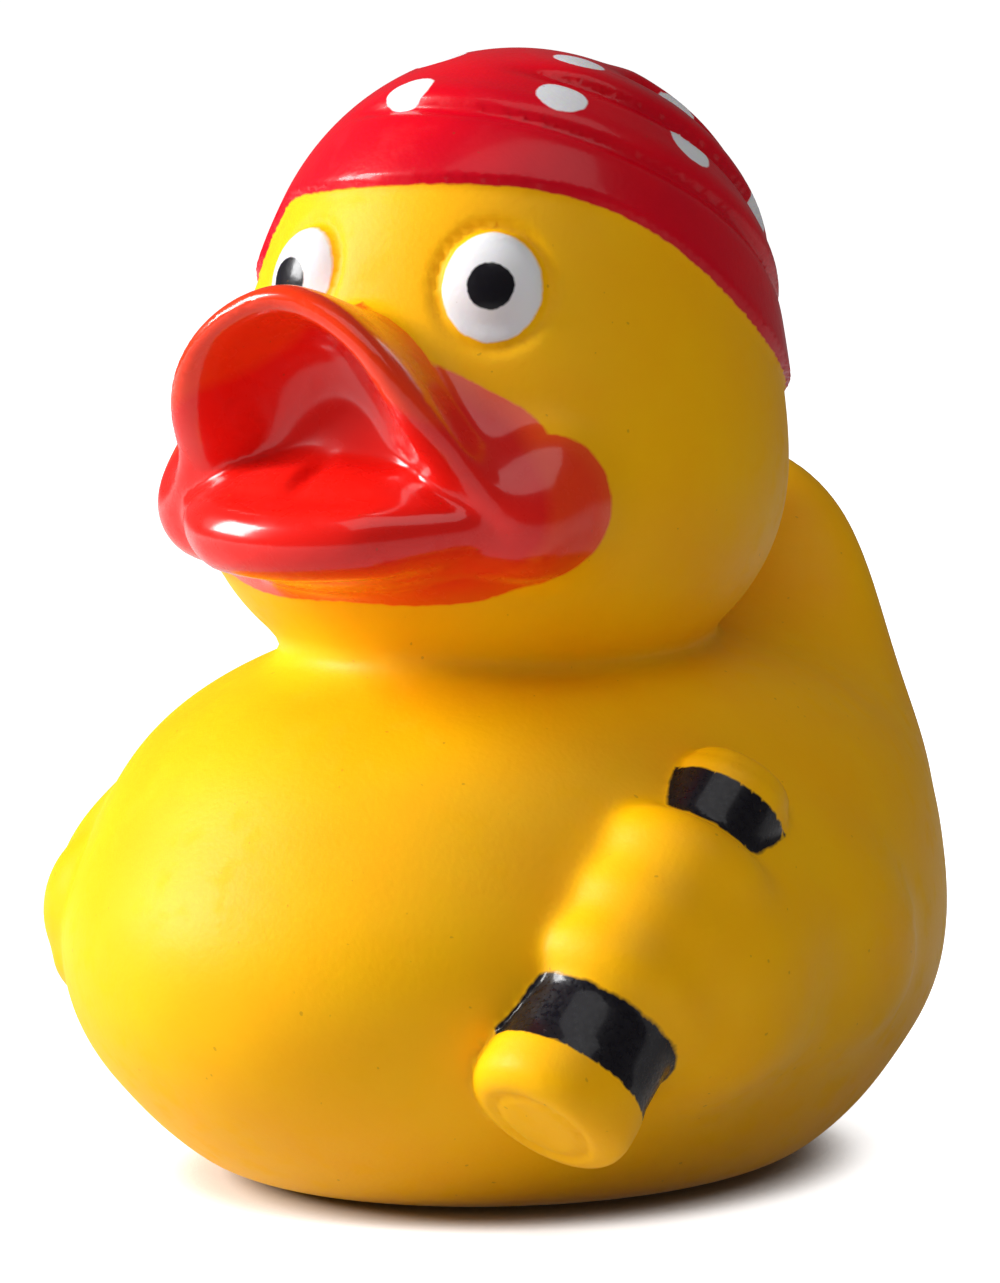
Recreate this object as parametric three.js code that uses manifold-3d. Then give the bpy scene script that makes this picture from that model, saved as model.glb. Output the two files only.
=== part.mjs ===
// Rubber duck in a headscarf, holding a small spyglass, about 85 mm tall.
// It is one hollow moulding of soft vinyl: body, head, bill, scarf, arms and spyglass are all
// swellings of the same skin, and the colours on it are only paint.
// Millimetres, +Z up. The origin is the centre of the flat base, the duck looks along -Y, and its
// left side, where it holds the spyglass, is +X.
//
// The form is written as a distance field: each shape is a function that gives the distance from
// a point to its skin, negative inside. Fields are blended with soft joins, as a modeller blends
// clay, and then meshed.

import * as THREE from 'three';
import { mergeVertices } from 'three/addons/utils/BufferGeometryUtils.js';
import Module from 'manifold-3d';

// Driving dimensions
const BODY_WIDTH = 62.6;
const BODY_LENGTH = 75.8;
const BODY_HEIGHT = 41.0;
const TAIL_WIDTH = 32.0;
const HEAD_WIDTH = 37.0;
const HEAD_LENGTH = 39.8;
const HEAD_HEIGHT = 39.6;
const HEAD_CENTRE = 63.5;
const CHEEK_WIDTH = 43.6;
const BILL_WIDTH = 33.0;
const BILL_REACH = 33.0;
const EYE_HEIGHT = 8.1;
const SCARF_THICKNESS = 0.6;
const SCARF_BAND = 5.8;
const SCARF_SLOPE = 0.57;
const SPYGLASS_LENGTH = 31.5;
const SPYGLASS_DIAMETER = 11.6;
const WALL = 2.4;
const VENT_DIAMETER = 4.5;
const VENT_BACK = 10;

// Mesh: size of the sampling cells, and how many triangles each skin keeps
const SKIN_CELL = 0.9;
const SKIN_TRIANGLES = 9200;
const HOLLOW_CELL = 2.6;
const HOLLOW_TRIANGLES = 1000;

const YELLOW = 0xf7b500;

// Vectors as plain arrays

const add = (a, b) => a.map((v, i) => v + b[i]);
const subtract = (a, b) => a.map((v, i) => v - b[i]);
const scale = (a, s) => a.map((v) => v * s);
const dot = (a, b) => a[0] * b[0] + a[1] * b[1] + a[2] * b[2];
const cross = (a, b) => [
  a[1] * b[2] - a[2] * b[1],
  a[2] * b[0] - a[0] * b[2],
  a[0] * b[1] - a[1] * b[0],
];
const unit = (a) => scale(a, 1 / Math.hypot(...a));
const clamp = (v, low, high) => Math.min(Math.max(v, low), high);
const bump = (distance, width) => Math.exp(-((distance / width) ** 2));
const radians = THREE.MathUtils.degToRad;
const degrees = THREE.MathUtils.radToDeg;

function smoothstep(from, to, v) {
  const t = clamp((v - from) / (to - from), 0, 1);
  return t * t * (3 - 2 * t);
}

// Three axes of a shape that stands on the body: along it, across it, and out of the skin
function axesOn(outward, along) {
  const n = unit(outward);
  const a = unit(subtract(along, scale(n, dot(along, n))));
  return [a, cross(n, a), n];
}

const UPRIGHT = [[1, 0, 0], [0, 1, 0], [0, 0, 1]];

// Fields

const ellipsoid = (centre, radii, axes = UPRIGHT) => (p) => {
  const q = [p[0] - centre[0], p[1] - centre[1], p[2] - centre[2]];
  const a = dot(q, axes[0]) / radii[0];
  const b = dot(q, axes[1]) / radii[1];
  const c = dot(q, axes[2]) / radii[2];
  const size = Math.sqrt(a * a + b * b + c * c);
  const slope = Math.sqrt((a / radii[0]) ** 2 + (b / radii[1]) ** 2 + (c / radii[2]) ** 2);
  return (size * (size - 1)) / (slope + 1e-9);
};

function rod(from, to, radius) {
  const span = subtract(to, from);
  const length = dot(span, span);
  return (p) => {
    const q = [p[0] - from[0], p[1] - from[1], p[2] - from[2]];
    const t = clamp(dot(q, span) / length, 0, 1);
    const out = [q[0] - span[0] * t, q[1] - span[1] * t, q[2] - span[2] * t];
    return Math.sqrt(dot(out, out)) - radius;
  };
}

// A soft join rounds the corner between two shapes over about the distance soft
function blend(a, b, soft) {
  const h = clamp(0.5 + (0.5 * (b - a)) / soft, 0, 1);
  return b + (a - b) * h - soft * h * (1 - h);
}

const join = (soft, ...shapes) => (p) => {
  let d = shapes[0](p);
  for (let i = 1; i < shapes.length; i += 1) {
    d = blend(d, shapes[i](p), soft);
  }
  return d;
};

const carve = (soft, shape, tool) => (p) => -blend(-shape(p), tool(p), soft);

// What lies inside both of two shapes, with the corner rounded
const overlap = (a, b, soft) => -blend(-a, -b, soft);

const onBothSides = (shape) => (p) => shape([Math.abs(p[0]), p[1], p[2]]);

// Body: a boat-shaped float with a small flat foot and a broad upright tail

const bodyCentre = 0.43 * BODY_HEIGHT;
const bodyForward = -1.5;

function makeBody() {
  const w = BODY_WIDTH / 2;
  const l = BODY_LENGTH / 2;
  const h = BODY_HEIGHT;
  const float = ellipsoid([0, bodyForward, bodyCentre], [w, l, 0.51 * h]);
  const back = ellipsoid([0, 2.4, 0.675 * h], [0.865 * w, 0.86 * l, 0.326 * h]);
  const foot = ellipsoid([0, bodyForward, 0.22 * h], [0.77 * w, 0.69 * l, 0.28 * h]);
  const tail = ellipsoid(
    [0, 0.66 * l, 0.857 * h],
    [TAIL_WIDTH / 2, 7, 0.446 * h],
    leaning(20),
  );
  return join(10, join(6, join(8, float, back), foot), tail);
}

// Upright axes that lean back by some degrees
function leaning(angle) {
  const a = radians(angle);
  return [[1, 0, 0], [0, Math.cos(a), -Math.sin(a)], [0, Math.sin(a), Math.cos(a)]];
}

// Head: a round skull over wide cheeks, which sit straight on the body

function makeHead() {
  const half = HEAD_HEIGHT / 2;
  const skull = ellipsoid([0, -0.5, HEAD_CENTRE], [HEAD_WIDTH / 2, HEAD_LENGTH / 2, half]);
  const cheeks = ellipsoid(
    [0, -4.2, HEAD_CENTRE - 0.615 * half],
    [CHEEK_WIDTH / 2, CHEEK_WIDTH / 2, 0.82 * half],
  );
  return join(8, skull, cheeks);
}

// Slope of a field: it points out of the skin
function slopeOf(field, p) {
  const e = 0.02;
  return [0, 1, 2].map((axis) => {
    const ahead = [...p];
    const behind = [...p];
    ahead[axis] += e;
    behind[axis] -= e;
    return (field(ahead) - field(behind)) / (2 * e);
  });
}

// The point where a straight line from a point inside leaves a shape
function leaves(field, from, direction) {
  let low = 0;
  let high = 80;
  while (high - low > 0.01) {
    const middle = (low + high) / 2;
    if (field(add(from, scale(direction, middle))) < 0) {
      low = middle;
    } else {
      high = middle;
    }
  }
  return add(from, scale(direction, low));
}

// The point of the body's skin at a bearing, 0 degrees ahead and 90 degrees to the left, and at a
// height, then moved along the skin's normal by some distance
function onBody(bearing, height, out) {
  const t = radians(bearing);
  const body = makeBody();
  const point = leaves(body, [0, bodyForward, height], [Math.sin(t), -Math.cos(t), 0]);
  const outward = unit(slopeOf(body, point));
  return { centre: add(point, scale(outward, out)), outward };
}

// Bill, wide open. The upper half is a thin vault with a flared rim, the lower half a tongue that
// rises behind a thick lip, and both end in a round lobe at each corner of the mouth. Its shapes
// are placed by three distances: to the side, forward of the head's centre, and up from it.

const billWidth = 33;
const billReach = 33;

function inBill(p) {
  const side = (Math.abs(p[0]) * billWidth) / BILL_WIDTH;
  const forward = (-p[1] * billReach) / BILL_REACH;
  return [side, forward, p[2] - HEAD_CENTRE];
}

// The vault's section is an arch that rises toward the tip and widens toward the front edge
const archFoot = -11.5;
const archWaist = 9.6;
const archHalfWidth = 12.0;
const archPower = 1.8;
const archWall = 1.1;
const archRoot = 12.3;
const archTip = 14.7;

// The front edge sweeps back from the tip to the corners of the mouth
const tipReach = 33.0;
const edgeSweep = 0.044;
const edgeTurn = 2.5;
const openingAt = (up) => tipReach - edgeSweep * Math.max(0, edgeTurn - up) ** 2;

// Distance from the middle of the vault's wall, negative on the mouth's side
function archDistance([side, forward, up]) {
  const above = Math.max(up - archFoot, 0);
  const flare = smoothstep(-9, 0, forward - openingAt(up));
  const half = archWaist + (archHalfWidth - archWaist) * flare;
  const rise = archRoot + (archTip - archRoot) * smoothstep(20, 33, forward);
  const level = ((side / half) ** archPower + (above / rise) ** archPower) ** (1 / archPower) + 1e-9;
  return (level - 1) * (Math.hypot(side, above) / level + 0.5);
}

function vault(q) {
  const [, forward, up] = q;
  const ahead = (forward - openingAt(up)) * 0.8;
  const within = Math.min(forward - 12, up + 16);
  return Math.max(overlap(archDistance(q) - archWall, ahead, 1.4), -within);
}

// The hollow of the mouth: its roof follows the vault, over a thicker wall lower down
function bowl(q) {
  const [, forward, up] = q;
  const palate = archDistance(q) + 1.3 + 1.6 * smoothstep(0.5, -8, up);
  return overlap(overlap(palate, 24.2 - forward, 6.0), -10.4 - up, 2.5);
}

// The lower lip: a bar bent round half an ellipse, which thins and rises toward its ends
const lipRadius = 2.7;
const lipHalfWidth = 12.9;
const lipReach = 12.6;
const lipBack = 19;

function lip([side, forward, up]) {
  const level = Math.hypot(side / lipHalfWidth, (forward - lipBack) / lipReach) + 1e-9;
  const across = ((level - 1) * Math.hypot(side, forward - lipBack)) / level;
  const radius = lipRadius * (1 - 0.45 * smoothstep(6, lipHalfWidth, side));
  return Math.hypot(across, up + 14.3 - 1.2 * (side / lipHalfWidth) ** 2) - radius;
}

function makeBill() {
  const root = ellipsoid([0, 14, -8.5], [13.5, 9.5, 8.6]);
  const lobe = ellipsoid([13.2, 16.8, -11.7], [5.4, 7.4, 6.1]);
  const corner = ellipsoid([14.2, 21.6, -13.2], [2.9, 3.0, 3.2]);
  const jaw = ellipsoid([0, 21.0, -13.8], [12.6, 10.8, 5.0]);
  const solid = join(3.4, join(4.0, root, jaw, join(2.0, lobe, corner)), vault);
  const tongue = ellipsoid([0, 25.6, -13.2], [11.4, 6.0, 4.4]);
  const groove = rod([0, 26, -8.2], [0, 31.3, -10.6], 0.75);
  const bill = join(0.9, carve(1.6, solid, bowl), carve(0.8, tongue, groove), lip);
  return (p) => bill(inBill(p));
}

// Eyes: low domes with a shallow groove round each. The pair is set a few degrees round to the
// duck's left.

const eyesTurn = radians(3);
const eyeOutward = unit([0.385, -0.893, 0.17]);
const eyeAxes = axesOn(eyeOutward, [0, 0, 1]);
const eyeRise = EYE_HEIGHT / 2;
const eyeHalfWidth = 0.89 * eyeRise;

const eyeSkin = leaves(makeHead(), [0, 0, HEAD_CENTRE], eyeOutward);
const eyeCentre = subtract(eyeSkin, eyeOutward);

// A point turned with the pair of eyes and folded onto the left one
function onEye([x, y, z]) {
  const side = x * Math.cos(eyesTurn) + y * Math.sin(eyesTurn);
  return [Math.abs(side), y * Math.cos(eyesTurn) - x * Math.sin(eyesTurn), z];
}

function makeEyes() {
  const dome = ellipsoid(eyeCentre, [1.03 * eyeRise, 1.03 * eyeHalfWidth, 2.1], eyeAxes);
  return (p) => dome(onEye(p));
}

// Depth of the groove round the eyes at a point
function eyeGroove(p) {
  const q = subtract(onEye(p), eyeCentre);
  const along = dot(q, eyeAxes[0]) / (1.13 * eyeRise);
  const across = dot(q, eyeAxes[1]) / (1.13 * eyeHalfWidth);
  return 0.3 * bump((Math.hypot(along, across) - 1) * eyeRise, 0.45);
}

// Headscarf: a skin over the head above a sloping edge, with a turned-up band along the edge and
// creases that gather toward a knot at the back

const scarfBrow = HEAD_CENTRE + 2.3;
const scarfUp = unit([0, SCARF_SLOPE, 1]);
const scarfBack = cross(scarfUp, [1, 0, 0]);
const fromBrow = (p) => [p[0], p[1], p[2] - scarfBrow];

// Height above the plane of the scarf's edge
const scarfHeight = (p) => dot(fromBrow(p), scarfUp);

// Degrees round from the brow, to the duck's left
function scarfTurn(p) {
  const q = fromBrow(p);
  return degrees(Math.atan2(q[0], -dot(q, scarfBack)));
}

// Height above the edge itself, which waves three times round and hangs low on the duck's right
const edgeDrop = 0.4;
const edgeWave = 1.1;
const edgeCrest = 51;
const edgeFall = 5.0;

function aboveEdge(p) {
  const turn = scarfTurn(p);
  const wave = edgeWave * Math.cos(radians(3 * (turn - edgeCrest)));
  const fall = edgeFall * smoothstep(38, 60, -turn) * smoothstep(172, 120, -turn);
  return scarfHeight(p) + edgeDrop - wave + fall;
}

// A crease starts at a turn and a height over the brow, and comes down toward the knot
const CREASES = [
  { front: SCARF_BAND, back: 3.6, starts: -32, depth: 0.6 },
  { front: SCARF_BAND + 5.2, back: 5.4, starts: 8, depth: 0.6 },
  { front: SCARF_BAND + 9.5, back: 7.4, starts: 40, depth: 0.6 },
];

function scarfRelief(p) {
  const height = scarfHeight(p);
  const turn = scarfTurn(p);
  let relief = SCARF_THICKNESS * smoothstep(-0.2, 0.7, aboveEdge(p));
  for (const crease of CREASES) {
    const line = crease.front + (crease.back - crease.front) * smoothstep(70, 165, Math.abs(turn));
    const strength = smoothstep(crease.starts, crease.starts + 30, turn < -60 ? -turn : turn);
    relief -= crease.depth * strength * bump(height - line, 1.1);
    relief += 0.5 * crease.depth * strength * bump(height - line - 1.9, 1.2);
  }
  return relief;
}

function makeScarf(head) {
  return (p) => Math.max(head(p) - scarfRelief(p), -aboveEdge(p) - 0.2);
}

function makeKnot() {
  const back = HEAD_LENGTH / 2 - 0.6;
  const height = scarfBrow - SCARF_SLOPE * back + 1.5;
  const knot = ellipsoid([0, back, height], [5.0, 3.2, 3.6]);
  const end = ellipsoid(
    [4.4, back - 0.8, height - 4.4],
    [5.6, 2.6, 1.6],
    axesOn([0.25, 1, -0.15], [0.65, 0, -1]),
  );
  return join(1.0, knot, onBothSides(end));
}

// Spyglass, half sunk in the breast: a wide tube with a rounded end ring, and a narrow draw tube

const glassLow = onBody(41.4, 0.36 * BODY_HEIGHT, 0.2).centre;
const glassHigh = onBody(68.7, 0.765 * BODY_HEIGHT, 0.1).centre;
const glassUp = unit(subtract(glassHigh, glassLow));
const glassEnd = subtract(glassLow, scale(glassUp, 0.235 * SPYGLASS_LENGTH));
const glassAxes = axesOn(glassUp, [1, 0, 0]);
const tubeRadius = SPYGLASS_DIAMETER / 2;
const drawRadius = 0.78 * tubeRadius;

// Distance from the axis of the spyglass, and distance up it from the lower end
function alongGlass(p) {
  const q = subtract(p, glassEnd);
  return [Math.hypot(dot(q, glassAxes[0]), dot(q, glassAxes[1])), dot(q, glassUp)];
}

const collar = (radius, from, to, round) => (p) => {
  const [out, up] = alongGlass(p);
  return -blend(radius - out, Math.min(up - from, to - up), round);
};

function makeSpyglass() {
  const length = SPYGLASS_LENGTH;
  const endRing = collar(1.05 * tubeRadius, 0, 0.17 * length, 2.2);
  const tube = collar(tubeRadius, 0.06 * length, 0.52 * length, 0.5);
  const draw = collar(drawRadius, 0.35 * length, 0.95 * length, 0.5);
  const eyepiece = collar(0.92 * drawRadius, 0.6 * length, length, 1.6);
  const lensGroove = (p) => {
    const [out, up] = alongGlass(p);
    return Math.hypot(out - 0.62 * tubeRadius, up) - 0.2;
  };
  return carve(0.4, join(0.4, endRing, tube, draw, eyepiece), lensGroove);
}

// Arms: low swellings of the body's sides. The left hand grips the spyglass with three thick
// fingers, and the right one is a closed fist.

const fingerRadius = 2.85;

function makeFingers() {
  const spacing = 0.15 * SPYGLASS_LENGTH;
  const finger = (n) => (p) => {
    const [out, up] = alongGlass(p);
    const middle = 0.38 * SPYGLASS_LENGTH + n * spacing;
    return Math.hypot(out - 0.76 * tubeRadius, 0.92 * (up - middle)) - fingerRadius;
  };
  return join(1.5, finger(0), finger(1), finger(2));
}

// The back of the left hand, which the fingers run into
function makePalm() {
  const { outward } = onBody(54, 0.5 * BODY_HEIGHT, 0);
  const out = unit(cross(glassUp, cross(outward, glassUp)));
  const side = cross(glassUp, out);
  const rear = scale(side, Math.sign(side[1]));
  const offset = add(add(scale(glassUp, 0.53 * SPYGLASS_LENGTH), scale(rear, 4.6)), scale(out, -0.5));
  return ellipsoid(add(glassEnd, offset), [7.4, 7.6, 6.8], [glassUp, rear, out]);
}

// An ellipsoid that lies in the skin of the body with its longest axis backward and down
function muscle(bearing, height, sunk, radii) {
  const { centre, outward } = onBody(bearing, height, -sunk);
  return ellipsoid(centre, radii, axesOn(outward, [0.35 * Math.sign(bearing), 1, -0.3]));
}

function makeArms() {
  const left = join(
    3.0,
    muscle(75, 0.52 * BODY_HEIGHT, 2.8, [12.5, 7.4, 4.3]),
    muscle(62, 0.51 * BODY_HEIGHT, 2.6, [7.5, 8.2, 4.8]),
  );
  const right = join(
    3.0,
    muscle(-80, 0.49 * BODY_HEIGHT, 2.4, [11.0, 6.4, 4.3]),
    muscle(-64, 0.46 * BODY_HEIGHT, 2.4, [7.0, 5.2, 4.0]),
  );
  return (p) => Math.min(left(p), right(p));
}

function makeRightHand() {
  return join(
    0.6,
    muscle(-53, 0.5 * BODY_HEIGHT, 1.7, [6.0, 5.2, 3.7]),
    muscle(-53, 0.38 * BODY_HEIGHT, 1.7, [5.2, 2.6, 2.8]),
  );
}

// The whole skin

// The neck is a tight crease at the sides and the back, and soft in front
const neckSoftness = (p) => 2.2 + 3.6 * smoothstep(12, 27, -p[1]);

function makeSkin() {
  const head = makeHead();
  const body = makeBody();
  const palm = makePalm();
  const trunk = (p) => blend(body(p), head(p), neckSoftness(p));
  const dressed = join(0.8, join(0.3, trunk, makeScarf(head)), makeKnot());
  const faced = join(1.2, dressed, makeBill());
  const grooved = (p) => faced(p) + eyeGroove(p);
  const seeing = join(0.4, grooved, makeEyes());
  const withArms = join(5.0, seeing, join(5.0, makeArms(), palm));
  const holding = join(0.5, join(0.9, withArms, makeRightHand()), makeSpyglass());
  const whole = join(0.8, holding, join(2.6, makeFingers(), palm));
  const aboveFloor = (p) => p[2];
  return carve(2.0, whole, aboveFloor);
}

// The hollow follows the body and head at the wall's thickness, and leaves the small parts solid
function makeHollow() {
  const trunk = join(4, makeBody(), makeHead());
  return (p) => Math.max(trunk(p) + WALL, WALL - p[2]);
}

// Meshing: each cube of the grid is split into six tetrahedra, and the skin cuts each one in a
// triangle or a quadrilateral, so that the mesh is always closed

const CORNER = [0, 1, 2, 3, 4, 5, 6, 7].map((n) => [n & 1, (n >> 1) & 1, n >> 2]);
const TETRAHEDRA = [[1, 3], [3, 2], [2, 6], [6, 4], [4, 5], [5, 1]].map((pair) => [0, ...pair, 7]);

// The edges that a skin crosses in a tetrahedron, in order round the cut
function cutOf(tetrahedron, inside) {
  const within = tetrahedron.filter((corner, i) => inside[i]);
  const outside = tetrahedron.filter((corner, i) => !inside[i]);
  let edges = [];
  if (within.length === 1) {
    edges = outside.map((corner) => [within[0], corner]);
  } else if (within.length === 3) {
    edges = within.map((corner) => [corner, outside[0]]);
  } else if (within.length === 2) {
    const [a, b] = within;
    const [c, d] = outside;
    edges = [[a, c], [a, d], [b, d], [b, c]];
  } else {
    return [];
  }
  const middle = ([a, b]) => scale(add(CORNER[a], CORNER[b]), 0.5);
  const normal = cross(
    subtract(middle(edges[1]), middle(edges[0])),
    subtract(middle(edges[2]), middle(edges[0])),
  );
  const outward = subtract(CORNER[outside[0]], CORNER[within[0]]);
  const ordered = dot(normal, outward) > 0 ? edges : edges.reverse();
  return ordered.map(([a, b]) => [Math.min(a, b), Math.max(a, b)]);
}

const CUTS = TETRAHEDRA.map((tetrahedron) => {
  const cuts = [];
  for (let mask = 0; mask < 16; mask += 1) {
    cuts.push(cutOf(tetrahedron, [0, 1, 2, 3].map((i) => (mask >> i) & 1)));
  }
  return cuts;
});

// The grid is sampled in blocks, and a block that lies far from the skin takes one value
const BLOCK = 4;

function sampleBlocks(count, sample) {
  for (let k = 0; k < count[2]; k += BLOCK) {
    for (let j = 0; j < count[1]; j += BLOCK) {
      for (let i = 0; i < count[0]; i += BLOCK) {
        const from = [i, j, k];
        const to = from.map((v, axis) => Math.min(v + BLOCK, count[axis]));
        sample(from, to, from.map((v, axis) => (v + to[axis] - 1) / 2));
      }
    }
  }
}

function meshField(field, low, high, cell) {
  const count = low.map((v, i) => Math.ceil((high[i] - v) / cell) + 1);
  const at = (i, j, k) => [low[0] + i * cell, low[1] + j * cell, low[2] + k * cell];
  const index = (i, j, k) => (k * count[1] + j) * count[0] + i;
  const values = new Float64Array(count[0] * count[1] * count[2]);
  sampleBlocks(count, (from, to, middle) => {
    const far = field(at(...middle));
    const empty = Math.abs(far) > 2 * BLOCK * cell;
    for (let k = from[2]; k < to[2]; k += 1) {
      for (let j = from[1]; j < to[1]; j += 1) {
        for (let i = from[0]; i < to[0]; i += 1) {
          values[index(i, j, k)] = empty ? far : field(at(i, j, k));
        }
      }
    }
  });
  const points = [];
  const triangles = [];
  const known = new Map();
  const step = CORNER.map(([i, j, k]) => index(i, j, k));

  function pointOn(i, j, k, a, b) {
    const first = index(i, j, k) + step[a];
    const second = index(i, j, k) + step[b];
    const key = first * 8 + (a ^ b);
    if (!known.has(key)) {
      const t = clamp(values[first] / (values[first] - values[second]), 0.03, 0.97);
      const from = add([i, j, k], CORNER[a]);
      const place = add(from, scale(subtract(CORNER[b], CORNER[a]), t));
      known.set(key, points.length);
      points.push(at(...place));
    }
    return known.get(key);
  }

  for (let k = 0; k < count[2] - 1; k += 1) {
    for (let j = 0; j < count[1] - 1; j += 1) {
      for (let i = 0; i < count[0] - 1; i += 1) {
        const base = index(i, j, k);
        const within = step.map((s) => (values[base + s] < 0 ? 1 : 0));
        const total = within.reduce((sum, v) => sum + v, 0);
        if (total === 0 || total === 8) {
          continue;
        }
        TETRAHEDRA.forEach((tetrahedron, t) => {
          const mask = tetrahedron.reduce((sum, corner, n) => sum + (within[corner] << n), 0);
          const ring = CUTS[t][mask].map(([a, b]) => pointOn(i, j, k, a, b));
          for (let n = 2; n < ring.length; n += 1) {
            triangles.push([ring[0], ring[n - 1], ring[n]]);
          }
        });
      }
    }
  }
  return { points, triangles };
}

// Moves each point along the slope of the field onto the skin
function settle({ points, triangles }, field, reach) {
  const settled = points.map((start) => {
    let p = start;
    for (let round = 0; round < 2; round += 1) {
      const slope = slopeOf(field, p);
      const move = field(p) / Math.max(dot(slope, slope), 0.3);
      p = subtract(p, scale(slope, clamp(move, -reach, reach)));
    }
    return p;
  });
  return { points: settled, triangles };
}

// Thinning: edges are collapsed, cheapest first, where the cost of a point is its squared distance
// from the planes of the triangles that it has replaced

class Queue {
  constructor() {
    this.items = [];
  }

  push(item) {
    const list = this.items;
    let n = list.length;
    list.push(item);
    while (n > 0) {
      const parent = (n - 1) >> 1;
      if (list[parent].cost <= item.cost) {
        break;
      }
      list[n] = list[parent];
      n = parent;
    }
    list[n] = item;
  }

  pop() {
    const list = this.items;
    const top = list[0];
    const last = list.pop();
    if (list.length === 0) {
      return top;
    }
    let n = 0;
    for (;;) {
      let child = 2 * n + 1;
      if (child >= list.length) {
        break;
      }
      if (child + 1 < list.length && list[child + 1].cost < list[child].cost) {
        child += 1;
      }
      if (list[child].cost >= last.cost) {
        break;
      }
      list[n] = list[child];
      n = child;
    }
    list[n] = last;
    return top;
  }
}

// Sum of squared distances to planes: the upper half of a symmetric 4 by 4 matrix
function planeQuadric(normal, offset, weight) {
  const [a, b, c, d] = [...normal, offset];
  const products = [a * a, a * b, a * c, a * d, b * b, b * c, b * d, c * c, c * d, d * d];
  return products.map((v) => v * weight);
}

function quadricCost(q, [x, y, z]) {
  return q[0] * x * x + 2 * q[1] * x * y + 2 * q[2] * x * z + 2 * q[3] * x
    + q[4] * y * y + 2 * q[5] * y * z + 2 * q[6] * y
    + q[7] * z * z + 2 * q[8] * z + q[9];
}

// The point with the least cost, or none where the planes are nearly parallel
function quadricLow(q) {
  const rows = new THREE.Matrix3().set(q[0], q[1], q[2], q[1], q[4], q[5], q[2], q[5], q[7]);
  const trace = q[0] + q[4] + q[7];
  if (Math.abs(rows.determinant()) < 1e-5 * trace ** 3) {
    return null;
  }
  return new THREE.Vector3(-q[3], -q[6], -q[8]).applyMatrix3(rows.invert()).toArray();
}

function thin(mesh, target) {
  const points = mesh.points.map((p) => [...p]);
  const triangles = mesh.triangles.map((t) => [...t]);
  const fans = points.map(() => new Set());
  const quadrics = points.map(() => new Array(10).fill(0));
  const versions = new Uint32Array(points.length);
  const gone = new Uint8Array(points.length);
  const normalOf = ([a, b, c], at = (n) => points[n]) => (
    cross(subtract(at(b), at(a)), subtract(at(c), at(a)))
  );
  triangles.forEach((triangle, n) => {
    triangle.forEach((corner) => fans[corner].add(n));
    const normal = normalOf(triangle);
    const area = Math.hypot(...normal);
    if (area < 1e-9) {
      return;
    }
    const direction = scale(normal, 1 / area);
    const plane = planeQuadric(direction, -dot(direction, points[triangle[0]]), area);
    triangle.forEach((corner) => {
      quadrics[corner] = add(quadrics[corner], plane);
    });
  });
  const queue = new Queue();
  const neighbours = (n) => {
    const found = new Set();
    fans[n].forEach((t) => triangles[t].forEach((corner) => found.add(corner)));
    found.delete(n);
    return found;
  };

  function offer(a, b) {
    const q = add(quadrics[a], quadrics[b]);
    const middle = scale(add(points[a], points[b]), 0.5);
    const reach = Math.hypot(...subtract(points[a], points[b]));
    const choices = [middle, points[a], points[b]];
    const low = quadricLow(q);
    if (low && Math.hypot(...subtract(low, middle)) < reach) {
      choices.unshift(low);
    }
    const costs = choices.map((p) => quadricCost(q, p));
    const best = costs.indexOf(Math.min(...costs));
    const cost = costs[best] + 1e-4 * reach * reach;
    queue.push({ a, b, place: choices[best], cost, seen: [versions[a], versions[b]] });
  }

  // A collapse is safe where the ends share just two neighbours and no triangle turns over
  function safe(a, b, place) {
    const around = neighbours(b);
    const shared = [...neighbours(a)].filter((n) => around.has(n));
    if (shared.length !== 2) {
      return false;
    }
    const moved = (n) => (n === a || n === b ? place : points[n]);
    for (const end of [a, b]) {
      for (const t of fans[end]) {
        const triangle = triangles[t];
        if (triangle.includes(a) && triangle.includes(b)) {
          continue;
        }
        const before = normalOf(triangle);
        const after = normalOf(triangle, moved);
        const size = Math.hypot(...before) * Math.hypot(...after);
        const edges = triangle.map((n, i) => subtract(moved(n), moved(triangle[(i + 1) % 3])));
        const longest = Math.max(...edges.map((edge) => Math.hypot(...edge)));
        const flat = Math.hypot(...after) < 0.02 * longest ** 2;
        if (flat || dot(before, after) < 0.3 * size) {
          return false;
        }
      }
    }
    return true;
  }

  triangles.forEach((triangle) => {
    triangle.forEach((corner, i) => {
      const next = triangle[(i + 1) % 3];
      if (corner < next) {
        offer(corner, next);
      }
    });
  });
  let left = triangles.length;
  while (left > target && queue.items.length > 0) {
    const { a, b, place, seen } = queue.pop();
    const stale = gone[a] || gone[b] || versions[a] !== seen[0] || versions[b] !== seen[1];
    if (stale || !safe(a, b, place)) {
      continue;
    }
    for (const t of [...fans[b]]) {
      const triangle = triangles[t];
      if (triangle.includes(a)) {
        triangle.forEach((corner) => fans[corner].delete(t));
        triangles[t] = null;
        left -= 1;
      } else {
        triangle[triangle.indexOf(b)] = a;
        fans[a].add(t);
      }
    }
    gone[b] = 1;
    points[a] = place;
    quadrics[a] = add(quadrics[a], quadrics[b]);
    versions[a] += 1;
    neighbours(a).forEach((n) => offer(Math.min(a, n), Math.max(a, n)));
  }
  const number = new Map();
  const kept = [];
  const faces = triangles.filter(Boolean).map((triangle) => triangle.map((corner) => {
    if (!number.has(corner)) {
      number.set(corner, kept.length);
      kept.push(points[corner]);
    }
    return number.get(corner);
  }));
  return { points: kept, triangles: faces };
}

// Points a hair off the floor are put on it, so that the base is one flat face
function flattenBase(mesh) {
  const points = mesh.points.map((p) => (Math.abs(p[2]) < 0.03 ? [p[0], p[1], 0] : p));
  return { points, triangles: mesh.triangles };
}

// Solids

const wasm = await Module();
wasm.setup();

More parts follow.
